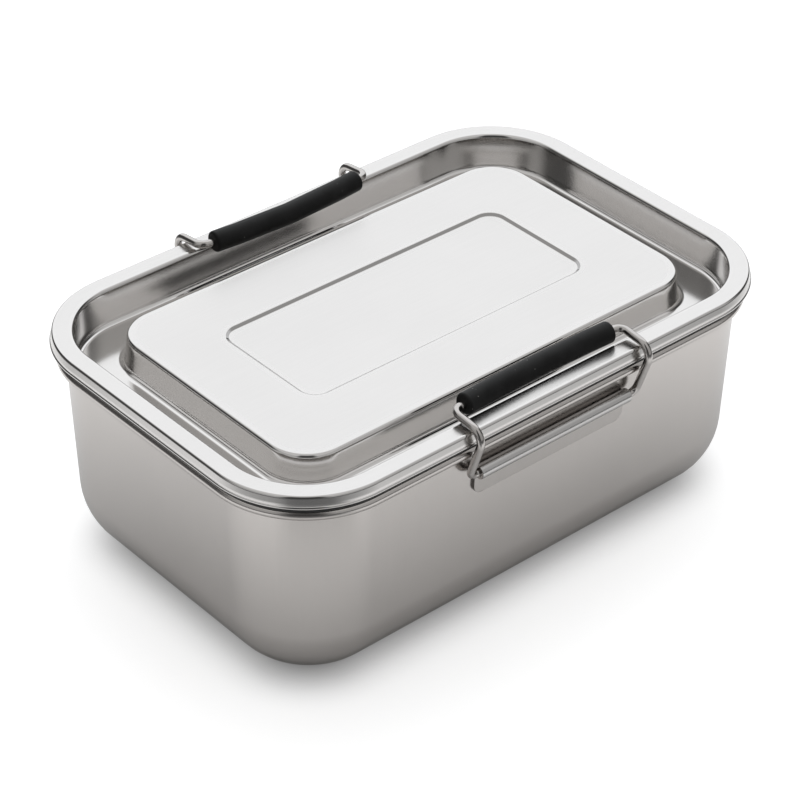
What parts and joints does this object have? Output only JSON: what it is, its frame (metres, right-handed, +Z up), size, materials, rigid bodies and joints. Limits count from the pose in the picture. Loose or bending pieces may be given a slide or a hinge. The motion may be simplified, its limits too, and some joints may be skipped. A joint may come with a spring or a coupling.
{
  "type": "lunch box",
  "caption": "Rectangular steel lunch box: drawn tub with a rolled bead, sealed lid with a channel round a raised panel, and wire clips with soft grips over the long sides.",
  "frame": {"origin": "middle of the tub's base, on the surface that the box stands on", "axes": "+Z up, X along the long sides, the front clip on the -Y side"},
  "size_m": [0.2016, 0.1428, 0.084],
  "materials": {
    "tub_steel": "satin stainless steel",
    "lid_steel": "satin stainless steel, bright edges",
    "clip_steel": "satin stainless steel",
    "wire_steel": "polished drawn wire",
    "seal_silicone": "dark silicone",
    "sleeve_silicone": "matte black silicone"
  },
  "bodies": {
    "box": {"tub": "tub_steel", "front_clip_plate": "clip_steel", "back_clip_plate": "clip_steel"},
    "cover": {"lid": "lid_steel", "lid_seal": "seal_silicone"},
    "front_clip": {"front_clip_wire": "wire_steel", "front_clip_sleeve": "sleeve_silicone"},
    "back_clip": {"back_clip_wire": "wire_steel", "back_clip_sleeve": "sleeve_silicone"}
  },
  "joints": [
    {"name": "lid_lift", "type": "slide", "parent": "box", "child": "cover", "axis": [0, 0, 1], "range_m": [0, 0.15]},
    {"name": "front_clip_swing", "type": "hinge", "parent": "box", "child": "front_clip", "pos_m": [0.0007, -0.06563, 0.0613], "axis": [1, 0, 0], "range_deg": [0, 166]},
    {"name": "back_clip_swing", "type": "hinge", "parent": "box", "child": "back_clip", "pos_m": [-0.0007, 0.06563, 0.0613], "axis": [-1, 0, 0], "range_deg": [0, 166]}
  ]
}
